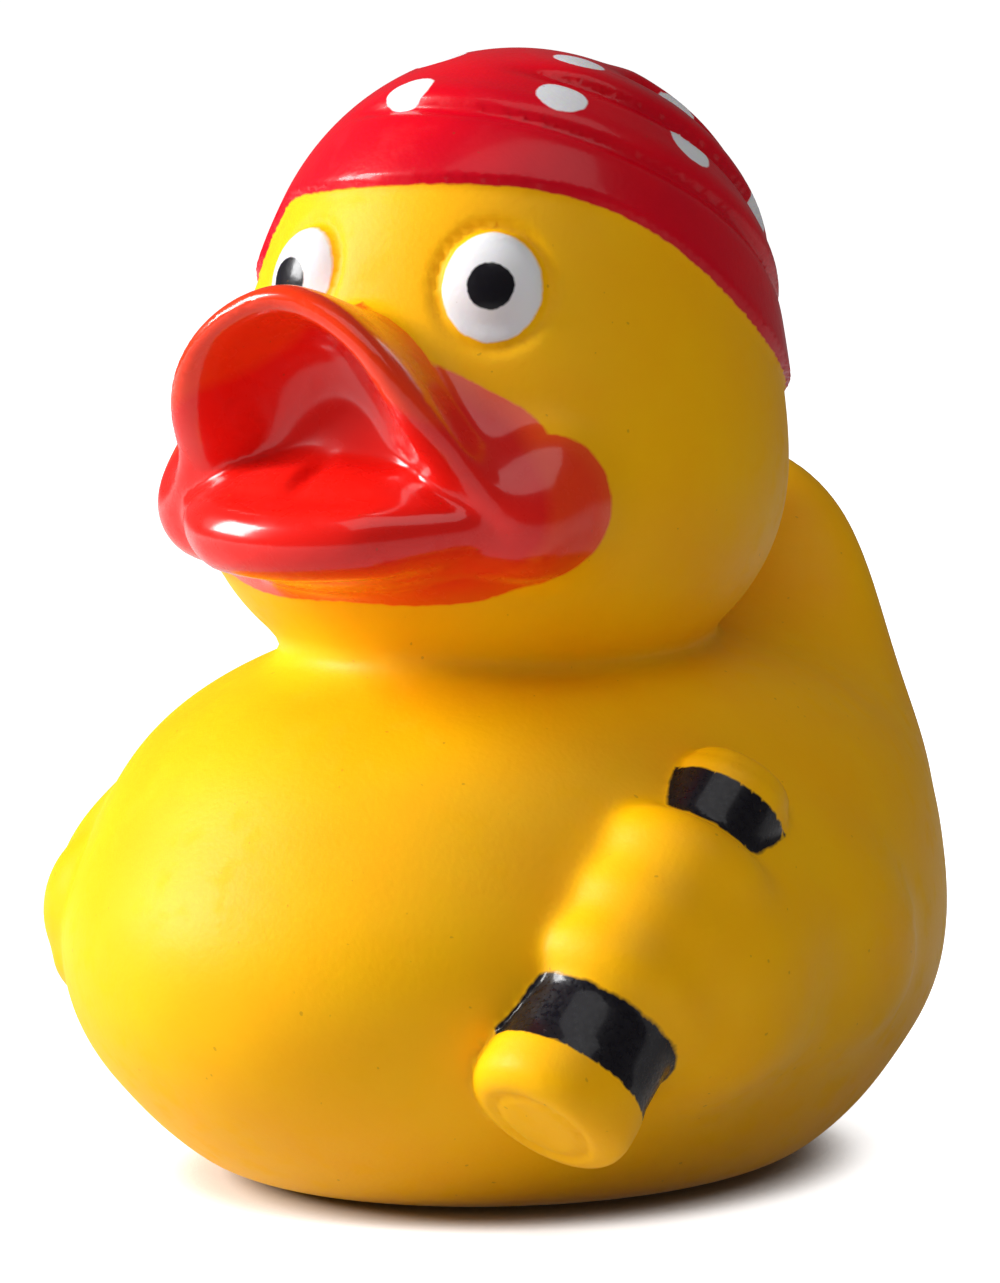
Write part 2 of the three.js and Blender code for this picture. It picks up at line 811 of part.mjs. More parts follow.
function solidOf({ points, triangles }) {
  return new wasm.Manifold(new wasm.Mesh({
    numProp: 3,
    vertProperties: new Float32Array(points.flat()),
    triVerts: new Uint32Array(triangles.flat()),
  }));
}

function solidOfGeometry(geometry) {
  geometry.deleteAttribute('normal');
  geometry.deleteAttribute('uv');
  const merged = mergeVertices(geometry, 1e-4);
  return new wasm.Manifold(new wasm.Mesh({
    numProp: 3,
    vertProperties: new Float32Array(merged.attributes.position.array),
    triVerts: new Uint32Array(merged.index.array),
  }));
}

function geometryOf(solid) {
  const { vertProperties, triVerts } = solid.getMesh();
  const geometry = new THREE.BufferGeometry();
  geometry.setAttribute('position', new THREE.BufferAttribute(vertProperties, 3));
  geometry.setIndex(new THREE.BufferAttribute(triVerts, 1));
  return geometry;
}

function makeVent() {
  const height = 4 * WALL;
  const vent = new THREE.CylinderGeometry(VENT_DIAMETER / 2, VENT_DIAMETER / 2, height, 32);
  vent.rotateX(Math.PI / 2);
  vent.translate(0, VENT_BACK, 0);
  return solidOfGeometry(vent);
}

// Room around the form for the grid
function reachOf() {
  const side = BODY_WIDTH / 2 + 10;
  const front = Math.max(BODY_LENGTH / 2 + 6, BILL_REACH + 8);
  const top = HEAD_CENTRE + HEAD_HEIGHT / 2 + 6;
  return { low: [-side, -front, -4], high: [side, BODY_LENGTH / 2 + 12, top] };
}

function makeDuck() {
  const { low, high } = reachOf();
  const skinField = makeSkin();
  const skin = thin(meshField(skinField, low, high, SKIN_CELL), SKIN_TRIANGLES);
  const hollowField = makeHollow();
  const hollow = thin(meshField(hollowField, low, high, HOLLOW_CELL), HOLLOW_TRIANGLES);
  const solid = solidOf(flattenBase(settle(skin, skinField, 0.3 * SKIN_CELL)))
    .subtract(solidOf(settle(hollow, hollowField, 0.3 * HOLLOW_CELL)))
    .subtract(makeVent());
  const vinyl = new THREE.MeshStandardMaterial({ color: YELLOW, roughness: 0.4, metalness: 0 });
  const duck = new THREE.Mesh(geometryOf(solid), vinyl);
  duck.name = 'duck';
  return duck;
}

const model = new THREE.Group();
model.add(makeDuck());

export default model;
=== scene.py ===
# A rubber duck in a spotted headscarf, with a small spyglass in its left hand.
# Blender works in metres, and the form is worked out in millimetres: +Z up, the duck looks
# along -Y, and its left side is +X.

import math

import bpy
import numpy as np
from mathutils import Matrix, Vector


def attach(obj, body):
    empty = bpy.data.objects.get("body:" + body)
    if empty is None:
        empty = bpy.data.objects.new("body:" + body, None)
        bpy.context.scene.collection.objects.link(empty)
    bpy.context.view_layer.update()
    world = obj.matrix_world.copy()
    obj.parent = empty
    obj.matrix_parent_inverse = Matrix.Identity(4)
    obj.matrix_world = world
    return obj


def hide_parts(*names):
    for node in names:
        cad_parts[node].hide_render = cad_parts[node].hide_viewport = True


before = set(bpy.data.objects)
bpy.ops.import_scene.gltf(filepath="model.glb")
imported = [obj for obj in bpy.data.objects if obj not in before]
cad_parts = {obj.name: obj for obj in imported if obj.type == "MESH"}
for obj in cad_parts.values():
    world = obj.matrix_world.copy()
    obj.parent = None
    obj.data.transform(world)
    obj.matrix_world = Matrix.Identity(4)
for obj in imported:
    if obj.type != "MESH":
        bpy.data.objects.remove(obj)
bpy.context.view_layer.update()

# Camera
# A long lens stands a little above the duck's middle, round to the duck's left.

CAMERA_TURN = math.radians(32)
CAMERA_RISE = math.radians(6)
CAMERA_DISTANCE = 0.480
CAMERA_TARGET = Vector((0, 0, 0.042))
PICTURE_WIDTH = 1000
PICTURE_HEIGHT = 1283
PIXELS_PER_METRE = 13260
VIEW_CENTRE = (520, 604.9)
SENSOR = 36

camera_data = bpy.data.cameras.new("camera")
camera_data.sensor_width = SENSOR
camera_data.lens = SENSOR * PIXELS_PER_METRE * CAMERA_DISTANCE / PICTURE_HEIGHT
camera_data.shift_x = (PICTURE_WIDTH / 2 - VIEW_CENTRE[0]) / PICTURE_HEIGHT
camera_data.shift_y = (VIEW_CENTRE[1] - PICTURE_HEIGHT / 2) / PICTURE_HEIGHT
camera_data.clip_start = 0.01
camera_data.clip_end = 50
camera = bpy.data.objects.new("camera", camera_data)
bpy.context.scene.collection.objects.link(camera)
camera_back = Vector((
    math.sin(CAMERA_TURN) * math.cos(CAMERA_RISE),
    -math.cos(CAMERA_TURN) * math.cos(CAMERA_RISE),
    math.sin(CAMERA_RISE),
))
camera.location = CAMERA_TARGET + camera_back * CAMERA_DISTANCE
camera.rotation_mode = "QUATERNION"
camera.rotation_quaternion = camera_back.to_track_quat("Z", "Y")
bpy.context.scene.camera = camera

# Floor and light
# A wide white table. A large soft lamp stands high on the duck's right front, a wider and much
# weaker one above its left, and the white room fills in the rest.

FLOOR_SIZE = 20.0
FLOOR_WHITE = 0.68
FLOOR_SEEN = 0.97
FLOOR_REFLECTED = 0.12
ROOM_LIGHT = 0.11
# How far from the duck the floor's glow is darkened into a painted contact shadow, and the share of open
# sky at which it is black and white
CONTACT_SHADE = 0.008
SHADE_BLACK = 0.15
SHADE_WHITE = 0.55
KEY_POWER = 19.0
TOP_POWER = 2.6

scene = bpy.context.scene
scene.view_settings.view_transform = "Standard"


def new_material(name):
    """A node material with its Principled shader."""
    material = bpy.data.materials.new(name)
    material.use_nodes = True
    return material, material.node_tree.nodes, material.node_tree.links


def make_floor():
    half = FLOOR_SIZE / 2
    mesh = bpy.data.meshes.new("floor")
    corners = [(-half, -half, 0), (half, -half, 0), (half, half, 0), (-half, half, 0)]
    mesh.from_pydata(corners, [], [(0, 1, 2, 3)])
    floor = bpy.data.objects.new("floor", mesh)
    scene.collection.objects.link(floor)
    material, nodes, links = new_material("white_table")
    paint = nodes["Principled BSDF"]
    paint.inputs["Base Color"].default_value = (FLOOR_WHITE, FLOOR_WHITE, FLOOR_WHITE, 1)
    paint.inputs["Roughness"].default_value = 0.9
    paint.inputs["Specular IOR Level"].default_value = 0.1
    seen = nodes.new("ShaderNodeLightPath")
    mirrored_floor = nodes.new("ShaderNodeMath")
    mirrored_floor.operation = "MAXIMUM"
    links.new(seen.outputs["Is Glossy Ray"], mirrored_floor.inputs[0])
    links.new(seen.outputs["Is Transmission Ray"], mirrored_floor.inputs[1])
    weak = nodes.new("ShaderNodeMath")
    weak.operation = "MULTIPLY"
    weak.inputs[1].default_value = FLOOR_REFLECTED
    links.new(mirrored_floor.outputs[0], weak.inputs[0])
    # A painted contact shadow: the floor's glow dims where the duck hides the open sky.
    near = nodes.new("ShaderNodeAmbientOcclusion")
    near.samples = 16
    near.inputs["Distance"].default_value = CONTACT_SHADE
    open_sky = nodes.new("ShaderNodeMapRange")
    open_sky.interpolation_type = "SMOOTHSTEP"
    open_sky.inputs["From Min"].default_value = SHADE_BLACK
    open_sky.inputs["From Max"].default_value = SHADE_WHITE
    open_sky.inputs["To Max"].default_value = FLOOR_SEEN
    links.new(near.outputs["AO"], open_sky.inputs["Value"])
    strength = nodes.new("ShaderNodeMath")
    strength.operation = "MULTIPLY_ADD"
    links.new(seen.outputs["Is Camera Ray"], strength.inputs[0])
    links.new(open_sky.outputs["Result"], strength.inputs[1])
    links.new(weak.outputs[0], strength.inputs[2])
    glow = nodes.new("ShaderNodeEmission")
    links.new(strength.outputs[0], glow.inputs["Strength"])
    both = nodes.new("ShaderNodeAddShader")
    links.new(paint.outputs[0], both.inputs[0])
    links.new(glow.outputs[0], both.inputs[1])
    links.new(both.outputs[0], nodes["Material Output"].inputs["Surface"])
    mesh.materials.append(material)


def make_lamp(name, place, toward, size, power):
    """A soft rectangular lamp at a place, turned toward another."""
    lamp = bpy.data.lights.new(name, "AREA")
    lamp.shape = "RECTANGLE"
    lamp.size, lamp.size_y = size
    lamp.energy = power
    holder = bpy.data.objects.new(name, lamp)
    holder.location = place
    holder.rotation_mode = "QUATERNION"
    holder.rotation_quaternion = (Vector(place) - Vector(toward)).to_track_quat("Z", "Y")
    scene.collection.objects.link(holder)


def make_room():
    world = bpy.data.worlds.new("white_room")
    scene.world = world
    world.use_nodes = True
    nodes, links = world.node_tree.nodes, world.node_tree.links
    seen = nodes.new("ShaderNodeLightPath")
    strength = nodes.new("ShaderNodeMapRange")
    strength.inputs["To Min"].default_value = ROOM_LIGHT
    strength.inputs["To Max"].default_value = 1.0
    links.new(seen.outputs["Is Camera Ray"], strength.inputs["Value"])
    room = nodes["Background"]
    room.inputs["Color"].default_value = (1, 1, 1, 1)
    links.new(strength.outputs["Result"], room.inputs["Strength"])


make_floor()
make_room()
make_lamp("key_lamp", place=(-0.8, -0.5, 0.52), toward=(0, 0, 0.04), size=(0.4, 0.5), power=KEY_POWER)
make_lamp("top_lamp", place=(0.3, -0.25, 0.8), toward=(0, 0, 0.05), size=(0.9, 0.6), power=TOP_POWER)

# Body and tail
# The body is a hollow, boat-shaped float of soft yellow vinyl with a small flat foot, and the
# tail is a broad fan that stands up behind. All the forms below are distance fields: functions
# that give the distance from each point to the skin, negative inside.

BODY_WIDTH = 62.6
BODY_LENGTH = 75.8
BODY_HEIGHT = 41.0
BODY_FORWARD = -1.5
BODY_CENTRE = 0.43 * BODY_HEIGHT
TAIL_WIDTH = 32.0
TAIL_THICKNESS = 14
TAIL_LEAN = 20
BACK_BLEND = 8
FOOT_BLEND = 6
TAIL_BLEND = 10


def unit(v):
    v = np.asarray(v, float)
    return v / np.linalg.norm(v)


def smoothstep(low, high, v):
    t = np.clip((v - low) / (high - low), 0, 1)
    return t * t * (3 - 2 * t)


def bump(distance, width):
    return np.exp(-((distance / width) ** 2))


def blend(a, b, soft):
    """The nearer of two shapes, with the corner between them rounded over about soft."""
    h = np.clip(0.5 + 0.5 * (b - a) / soft, 0, 1)
    return b + (a - b) * h - soft * h * (1 - h)


def join(soft, *distances):
    d = distances[0]
    for other in distances[1:]:
        d = blend(d, other, soft)
    return d


def carve(soft, shape, tool):
    return -blend(-shape, tool, soft)


def blend_high(a, b, soft):
    """What lies inside both shapes, with a rounded corner."""
    return -blend(-a, -b, soft)


def ellipsoid(p, centre, radii, axes=None):
    q = p - np.asarray(centre, float)
    if axes is not None:
        q = q @ np.asarray(axes).T
    a = q / np.asarray(radii, float)
    size = np.sqrt((a * a).sum(1))
    slope = np.sqrt(((a / np.asarray(radii, float)) ** 2).sum(1))
    return size * (size - 1) / (slope + 1e-9)


def leaning(degrees):
    c, s = math.cos(math.radians(degrees)), math.sin(math.radians(degrees))
    return [[1, 0, 0], [0, c, -s], [0, s, c]]


def mirrored(p):
    """Both sides of the duck folded onto its left."""
    return np.stack([np.abs(p[:, 0]), p[:, 1], p[:, 2]], 1)


def body_field(p):
    w, l, h = BODY_WIDTH / 2, BODY_LENGTH / 2, BODY_HEIGHT
    hull = ellipsoid(p, (0, BODY_FORWARD, BODY_CENTRE), (w, l, 0.51 * h))
    back = ellipsoid(p, (0, 2.4, 0.675 * h), (0.865 * w, 0.86 * l, 0.326 * h))
    foot = ellipsoid(p, (0, BODY_FORWARD, 0.22 * h), (0.77 * w, 0.69 * l, 0.28 * h))
    tail_size = (TAIL_WIDTH / 2, TAIL_THICKNESS / 2, 0.446 * h)
    tail = ellipsoid(p, (0, 0.66 * l, 0.857 * h), tail_size, leaning(TAIL_LEAN))
    return join(TAIL_BLEND, join(FOOT_BLEND, join(BACK_BLEND, hull, back), foot), tail)


# Head
# A round skull over wide cheeks, which sit straight on the body with a tight crease for a neck.

HEAD_WIDTH = 37.0
HEAD_LENGTH = 39.8
HEAD_HEIGHT = 39.6
HEAD_CENTRE = 63.5
CHEEK_WIDTH = 43.6
CHEEK_BLEND = 8


def head_field(p):
    half = HEAD_HEIGHT / 2
    skull = ellipsoid(p, (0, -0.5, HEAD_CENTRE), (HEAD_WIDTH / 2, HEAD_LENGTH / 2, half))
    cheeks = ellipsoid(
        p, (0, -4.2, HEAD_CENTRE - 0.615 * half), (CHEEK_WIDTH / 2, CHEEK_WIDTH / 2, 0.82 * half)
    )
    return join(CHEEK_BLEND, skull, cheeks)


# Bill
# The open bill is part of the moulding, and is dipped in a glossy red. Its upper half is a thin
# vault with a rolled rim, the lower half a tongue behind a thick lip, and both halves end in a
# round lobe at each corner of the mouth.

BILL_WIDTH = 33.0
BILL_REACH = 33.0
# The numbers below are for a bill of this width and reach, and are scaled to the ones above.
BILL_AS_DRAWN = 33
ARCH_FOOT = -11.5
ARCH_HALF_WIDTH = 12.0
ARCH_WAIST = 9.6
ARCH_POWER = 1.8
ARCH_WALL = 1.1
ARCH_ROOT = 12.3
ARCH_TIP = 14.7
TIP_REACH = 33.0
LIP_RADIUS = 2.7
LIP_HALF_WIDTH = 12.9
LIP_REACH = 12.6
LIP_MIDDLE = 19
# Centre and half sizes of each lump: to the side, forward, and up from the middle of the head
BILL_ROOT = (0, 14, -8.5), (13.5, 9.5, 8.6)
BILL_LOBE = (13.2, 16.8, -11.7), (5.4, 7.4, 6.1)
BILL_CORNER = (14.2, 21.6, -13.2), (2.9, 3.0, 3.2)
BILL_JAW = (0, 21.0, -13.8), (12.6, 10.8, 5.0)
TONGUE = (0, 25.6, -13.2), (11.4, 6.0, 4.4)
# Start, end and radius
TONGUE_GROOVE = (0, 26, -8.2), (0, 31.3, -10.6), 0.75
MOUTH_BACK = 24.2
MOUTH_FLOOR = -10.4


def in_bill(p):
    """Distance to the side, forward of the head's centre and up from it, for each point."""
    side = np.abs(p[:, 0]) * BILL_AS_DRAWN / BILL_WIDTH
    forward = -p[:, 1] * BILL_AS_DRAWN / BILL_REACH
    return np.stack([side, forward, p[:, 2] - HEAD_CENTRE], 1)


def rod(p, start, end, radius):
    start, end = np.asarray(start, float), np.asarray(end, float)
    span = end - start
    q = p - start
    t = np.clip(q @ span / (span @ span), 0, 1)
    return np.linalg.norm(q - t[:, None] * span, axis=1) - radius


def arch_distance(q):
    """Distance from the middle of the vault's wall, negative on the mouth's side."""
    above = np.maximum(q[:, 2] - ARCH_FOOT, 0)
    flare = smoothstep(-9, 0, q[:, 1] - opening_at(q[:, 2]))
    rise = ARCH_ROOT + (ARCH_TIP - ARCH_ROOT) * smoothstep(20, 33, q[:, 1])
    half = ARCH_WAIST + (ARCH_HALF_WIDTH - ARCH_WAIST) * flare
    level = ((q[:, 0] / half) ** ARCH_POWER + (above / rise) ** ARCH_POWER) ** (1 / ARCH_POWER) + 1e-9
    return (level - 1) * (np.hypot(q[:, 0], above) / level + 0.5)


def opening_at(up):
    """How far forward the mouth's edge lies at a height: it sweeps back from tip to corner."""
    return TIP_REACH - 0.044 * np.maximum(0, 2.5 - up) ** 2


def lip_field(q):
    side, forward, up = q.T
    level = np.hypot(side / LIP_HALF_WIDTH, (forward - LIP_MIDDLE) / LIP_REACH) + 1e-9
    across = (level - 1) * np.hypot(side, forward - LIP_MIDDLE) / level
    radius = LIP_RADIUS * (1 - 0.45 * smoothstep(6, 13, side))
    return np.hypot(across, up + 14.3 - 1.2 * (side / LIP_HALF_WIDTH) ** 2) - radius


def bill_field(p):
    q = in_bill(p)
    side, forward, up = q.T
    root = ellipsoid(q, *BILL_ROOT)
    lobe = ellipsoid(q, *BILL_LOBE)
    corner = ellipsoid(q, *BILL_CORNER)
    jaw = ellipsoid(q, *BILL_JAW)
    ahead = (forward - opening_at(up)) * 0.8
    within = np.minimum(forward - 12, up + 16)
    vault = np.maximum(blend_high(arch_distance(q) - ARCH_WALL, ahead, 1.8), -within)
    solid = join(3.4, join(4.0, root, jaw, join(2.0, lobe, corner)), vault)
    palate = arch_distance(q) + 1.3 + 1.6 * smoothstep(0.5, -8, up)
    bowl = blend_high(blend_high(palate, MOUTH_BACK - forward, 6.0), MOUTH_FLOOR - up, 2.5)
    spoon = carve(2.0, solid, bowl)
    tongue = carve(0.8, ellipsoid(q, *TONGUE), rod(q, *TONGUE_GROOVE))
    return join(0.9, spoon, tongue, lip_field(q))


# Eyes
# Each eye is a low dome of the moulding inside a shallow groove, sprayed white through a mask,
# with a printed black pupil.

EYE_HEIGHT = 8.1
EYE_RISE = EYE_HEIGHT / 2
EYE_HALF_WIDTH = 0.89 * EYE_RISE
EYES_TURN = math.radians(3)
EYE_OUTWARD = unit((0.385, -0.893, 0.17))
EYE_SUNK = 1.0
EYE_DOME = 2.1
EYE_GROOVE_DEPTH = 0.3
PUPIL_RADIUS = 1.72


def axes_on(outward, along):
    """Three axes on the skin: along it, across it, and out of it."""
    n = unit(outward)
    a = unit(np.asarray(along, float) - n * (np.asarray(along, float) @ n))
    return np.array([a, np.cross(n, a), n])


def slope_of(field, p, step=0.02):
    g = np.zeros_like(p)
    for corner in ((1, -1, -1), (-1, -1, 1), (-1, 1, -1), (1, 1, 1)):
        v = np.array(corner, float)
        g += v * field(p + step * v)[:, None]
    return g / (4 * step)


def leaves(field, start, direction):
    """The point where a straight line from a point inside comes out of a shape."""
    start, direction = np.asarray(start, float), np.asarray(direction, float)
    low, high = 0.0, 80.0
    while high - low > 0.01:
        middle = (low + high) / 2
        if field((start + direction * middle)[None])[0] < 0:
            low = middle
        else:
            high = middle
    return start + direction * low


EYE_AXES = axes_on(EYE_OUTWARD, (0, 0, 1))
EYE_CENTRE = leaves(head_field, (0, 0, HEAD_CENTRE), EYE_OUTWARD) - EYE_SUNK * EYE_OUTWARD


def on_eye(p):
    """Points turned with the pair of eyes, which look a little to the left, and folded."""
    c, s = math.cos(EYES_TURN), math.sin(EYES_TURN)
    return np.stack([np.abs(c * p[:, 0] + s * p[:, 1]), c * p[:, 1] - s * p[:, 0], p[:, 2]], 1)


def eyes_field(p):
    size = (1.03 * EYE_RISE, 1.03 * EYE_HALF_WIDTH, EYE_DOME)
    return ellipsoid(on_eye(p), EYE_CENTRE, size, EYE_AXES)


def eye_groove(p):
    q = (on_eye(p) - EYE_CENTRE) @ EYE_AXES.T
    ring = np.hypot(q[:, 0] / (1.13 * EYE_RISE), q[:, 1] / (1.13 * EYE_HALF_WIDTH))
    return EYE_GROOVE_DEPTH * bump((ring - 1) * EYE_RISE, 0.45)


# Headscarf
# A raised skin of the moulding over the head, above a sloping edge, sprayed red. A turned-up band
# runs along the edge, and creases gather toward a knot at the back.

SCARF_THICKNESS = 0.6
SCARF_BAND = 5.8
SCARF_SLOPE = 0.57
SCARF_UP = unit((0, SCARF_SLOPE, 1))
SCARF_BACK = np.cross(SCARF_UP, (1, 0, 0))
SCARF_BROW = HEAD_CENTRE + 2.3
EDGE_DROP = 0.4
EDGE_WAVE = 1.1
EDGE_CREST = 51
EDGE_FALL = 5.0
# Height over the brow, height at the knot, turn where it starts, and depth of each crease
CREASES = [
    (SCARF_BAND, 3.6, -32, 0.6),
    (SCARF_BAND + 5.2, 5.4, 8, 0.75),
    (SCARF_BAND + 9.5, 7.4, 40, 0.75),
]
# Width of a crease, and the height and width of the fold over it
CREASE_WIDTH = 0.55
FOLD_RISE = 1.9
FOLD_WIDTH = 1.2
KNOT_SIZE = (5.0, 3.2, 3.6)
KNOT_END_SIZE = (5.6, 2.6, 1.6)


def scarf_height(p):
    """Height above the plane of the scarf's edge."""
    return (p - np.array([0, 0, SCARF_BROW])) @ SCARF_UP


def scarf_turn(p):
    """Degrees round from the brow, to the duck's left."""
    q = p - np.array([0, 0, SCARF_BROW])
    return np.degrees(np.arctan2(q[:, 0], -(q @ SCARF_BACK)))


def above_edge(p):
    """Height above the edge itself, which waves three times round and hangs low on the right."""
    turn = scarf_turn(p)
    wave = EDGE_WAVE * np.cos(np.radians(3 * (turn - EDGE_CREST)))
    fall = EDGE_FALL * smoothstep(38, 60, -turn) * smoothstep(172, 120, -turn)
    return scarf_height(p) + EDGE_DROP - wave + fall


def scarf_field(p):
    height = scarf_height(p)
    edge = above_edge(p)
    turn = scarf_turn(p)
    relief = SCARF_THICKNESS * smoothstep(-0.2, 0.7, edge)
    for front, back, starts, depth in CREASES:
        line = front + (back - front) * smoothstep(70, 165, np.abs(turn))
        strength = smoothstep(starts, starts + 30, np.where(turn < -60, -turn, turn))
        relief = relief - depth * strength * bump(height - line, CREASE_WIDTH)
        relief = relief + 0.5 * depth * strength * bump(height - line - FOLD_RISE, FOLD_WIDTH)
    return np.maximum(head_field(p) - relief, -edge - 0.2)


def knot_field(p):
    back = HEAD_LENGTH / 2 - 0.6
    height = SCARF_BROW - SCARF_SLOPE * back + 1.5
    knot = ellipsoid(p, (0, back, height), KNOT_SIZE)
    hanging = axes_on((0.25, 1, -0.15), (0.65, 0, -1))
    end = ellipsoid(mirrored(p), (4.4, back - 0.8, height - 4.4), KNOT_END_SIZE, hanging)
    return join(1.0, knot, end)


# Spyglass
# A wide tube with a rounded end ring and a narrow draw tube, half sunk in the breast. It is part
# of the moulding too: the ends stay yellow, and the bands between are brushed with black.

SPYGLASS_LENGTH = 31.5
SPYGLASS_DIAMETER = 11.6
TUBE_RADIUS = SPYGLASS_DIAMETER / 2
DRAW_RADIUS = 0.78 * TUBE_RADIUS
# Two points of its axis: bearing from straight ahead, height as a share of the body's, and
# distance out of the body's skin
LOW_ON_AXIS = (41.4, 0.36, 0.2)
HIGH_ON_AXIS = (68.7, 0.765, 0.1)


def on_body(bearing, share, out):
    """A point of the body's skin, moved out of it, and the way out of the skin there."""
    t = math.radians(bearing)
    middle = (0, BODY_FORWARD, share * BODY_HEIGHT)
    point = leaves(body_field, middle, (math.sin(t), -math.cos(t), 0))
    outward = unit(slope_of(body_field, point[None])[0])
    return point + out * outward, outward


glass_low = on_body(*LOW_ON_AXIS)[0]
glass_high = on_body(*HIGH_ON_AXIS)[0]
GLASS_UP = unit(glass_high - glass_low)
GLASS_END = glass_low - 0.235 * SPYGLASS_LENGTH * GLASS_UP


def along_glass(p):
    """Distance from the axis of the spyglass, and distance up it from the lower end."""
    q = p - GLASS_END
    up = q @ GLASS_UP
    return np.linalg.norm(q - up[:, None] * GLASS_UP, axis=1), up


def spyglass_field(p):
    out, up = along_glass(p)
    length = SPYGLASS_LENGTH

    def collar(radius, start, end, rounding):
        return -blend(radius - out, np.minimum(up - start, end - up), rounding)

    tube = join(
        0.4,
        collar(1.05 * TUBE_RADIUS, 0, 0.17 * length, 2.2),
        collar(TUBE_RADIUS, 0.06 * length, 0.52 * length, 0.5),
        collar(DRAW_RADIUS, 0.35 * length, 0.95 * length, 0.5),
        collar(0.92 * DRAW_RADIUS, 0.6 * length, length, 1.6),
    )
    return carve(0.4, tube, np.hypot(out - 0.62 * TUBE_RADIUS, up) - 0.2)


# Arms and hands
# Low swellings of the body's sides. The left hand grips the spyglass with three thick fingers,
# and the right one is a closed fist.

FINGERS = 3
FINGER_SPACING = 0.15 * SPYGLASS_LENGTH
FINGER_RADIUS = 2.85
FINGER_BLEND = 2.2
ARM_BLEND = 3.0
# Half sizes of the palm: along the spyglass, to the rear and outward
PALM_SIZE = (7.4, 7.6, 6.8)
# Each muscle: bearing from straight ahead, height as a share of the body's, how far its centre is
# sunk in the skin, and its half sizes
LEFT_ARM = [(75, 0.52, 2.8, (12.5, 7.4, 4.3)), (62, 0.51, 2.6, (7.5, 8.2, 4.8))]
RIGHT_ARM = [(-80, 0.49, 2.4, (11.0, 6.4, 4.3)), (-64, 0.46, 2.4, (7.0, 5.2, 4.0))]
RIGHT_FIST = (-53, 0.5, 1.7, (6.0, 5.2, 3.7))
RIGHT_THUMB = (-53, 0.38, 1.7, (5.2, 2.6, 2.8))


def muscle(p, bearing, share, sunk, radii):
    """An ellipsoid in the body's skin, with its longest axis backward and down."""
    centre, outward = on_body(bearing, share, -sunk)
    return ellipsoid(p, centre, radii, axes_on(outward, (0.35 * np.sign(bearing), 1, -0.3)))


def arms_field(p):
    left = join(ARM_BLEND, *[muscle(p, *place) for place in LEFT_ARM])
    right = join(ARM_BLEND, *[muscle(p, *place) for place in RIGHT_ARM])
    return np.minimum(left, right)


def right_hand_field(p):
    return join(0.6, muscle(p, *RIGHT_FIST), muscle(p, *RIGHT_THUMB))


breast_outward = on_body(54, 0.5, 0)[1]
GLASS_OUT = unit(np.cross(GLASS_UP, np.cross(breast_outward, GLASS_UP)))
GLASS_REAR = np.cross(GLASS_UP, GLASS_OUT)
GLASS_REAR = GLASS_REAR * np.sign(GLASS_REAR[1])


def palm_field(p):
    """The back of the left hand, which the fingers run into."""
    centre = GLASS_END + 0.53 * SPYGLASS_LENGTH * GLASS_UP + 4.6 * GLASS_REAR - 0.5 * GLASS_OUT
    return ellipsoid(p, centre, PALM_SIZE, np.array([GLASS_UP, GLASS_REAR, GLASS_OUT]))


def fingers_field(p):
    out, up = along_glass(p)
    rings = []
    for n in range(FINGERS):
        middle = 0.38 * SPYGLASS_LENGTH + n * FINGER_SPACING
        rings.append(np.hypot(out - 0.76 * TUBE_RADIUS, 0.92 * (up - middle)) - FINGER_RADIUS)
    return join(FINGER_BLEND, *rings)


# The moulding
# Everything above is one skin of soft vinyl, made in one mould. It stands on a flat foot, with a
# vent in it behind the middle.

VENT_RADIUS = 2.25
VENT_BACK = 10
VENT_DEPTH = 6.0
NECK_BLEND = 2.2
THROAT_BLEND = 3.6
SHOULDER_BLEND = 5.0
FOOT_ROUNDING = 2.0


def skin_field(p):
    front = smoothstep(12, 27, -p[:, 1])
    trunk = blend(body_field(p), head_field(p), NECK_BLEND + THROAT_BLEND * front)
    dressed = join(0.8, join(0.3, trunk, scarf_field(p)), knot_field(p))
    faced = join(1.2, dressed, bill_field(p))
    seeing = join(0.4, faced + eye_groove(p), eyes_field(p))
    with_arms = join(SHOULDER_BLEND, seeing, join(SHOULDER_BLEND, arms_field(p), palm_field(p)))
    holding = join(0.5, join(0.9, with_arms, right_hand_field(p)), spyglass_field(p))
    whole = join(0.8, holding, join(2.6, fingers_field(p), palm_field(p)))
    vent = np.maximum(np.hypot(p[:, 0], p[:, 1] - VENT_BACK) - VENT_RADIUS, p[:, 2] - VENT_DEPTH)
    return np.maximum(carve(FOOT_ROUNDING, whole, p[:, 2]), -vent)


CELL = 0.5
COARSE_CELL = 1.3 * CELL
BLOCK = 4
# Start and end of the grid, and of its fine stretch. It is finest at the head's front and the bill.
GRID_ACROSS = (-40.0, 40.0, -22.0, 35.0)
GRID_ALONG = (-43.0, 42.0, -40.0, 0.0)
GRID_UP = (-3.0, 88.0, 40.0, 86.0)
POINTS_AT_ONCE = 200000
SETTLING_ROUNDS = 3
FLAT_WITHIN = 0.04


def grid_lines(low, high, fine_low, fine_high):
    """Grid lines a cell apart in the fine stretch and wider apart outside it."""
    lines = [low]
    while lines[-1] < high:
        step = CELL if fine_low <= lines[-1] < fine_high else COARSE_CELL
        lines.append(lines[-1] + step)
    return np.array(lines)


